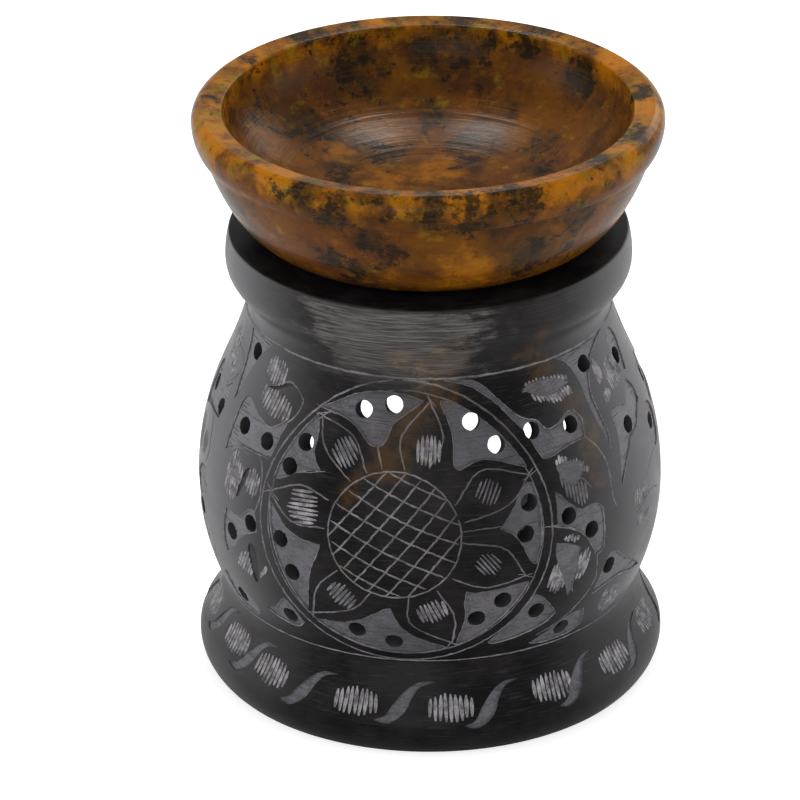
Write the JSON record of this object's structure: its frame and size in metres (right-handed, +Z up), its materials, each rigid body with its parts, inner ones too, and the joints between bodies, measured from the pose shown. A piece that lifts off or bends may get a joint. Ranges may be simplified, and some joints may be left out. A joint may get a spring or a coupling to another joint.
{
  "type": "essential oil burner",
  "caption": "Turned stone oil burner: a pierced, carved body with a candle door at the back, a loose stone dish on its collar and a tealight inside that heats the dish.",
  "frame": {"origin": "centre of the underside of the foot", "axes": "+Z up through the dish, -Y towards the carved medallion at the front, +Y out of the candle door at the back"},
  "size_m": [0.0834, 0.0834, 0.107],
  "materials": {
    "black_stone": "satin polished black soapstone, engraved lines and scraped grounds left pale grey",
    "amber_stone": "polished amber-brown soapstone with black and olive mottling",
    "cup_metal": "bright drawn foil",
    "candle_wax": "soft white wax",
    "wick_cotton": "waxed cotton braid",
    "wick_base_metal": "stamped tinplate"
  },
  "bodies": {
    "burner": {"burner_body": "black_stone"},
    "dish": {"oil_dish": "amber_stone"},
    "tealight": {"tealight_cup": "cup_metal", "tealight_wax": "candle_wax", "tealight_wick": "wick_cotton", "wick_sustainer": "wick_base_metal"}
  },
  "joints": [
    {"name": "dish_lift", "type": "slide", "parent": "burner", "child": "dish", "axis": [0, 0, 1], "range_m": [0, 0.04]},
    {"name": "tealight_slide", "type": "slide", "parent": "burner", "child": "tealight", "axis": [0, 1, 0], "range_m": [0, 0.065]}
  ]
}
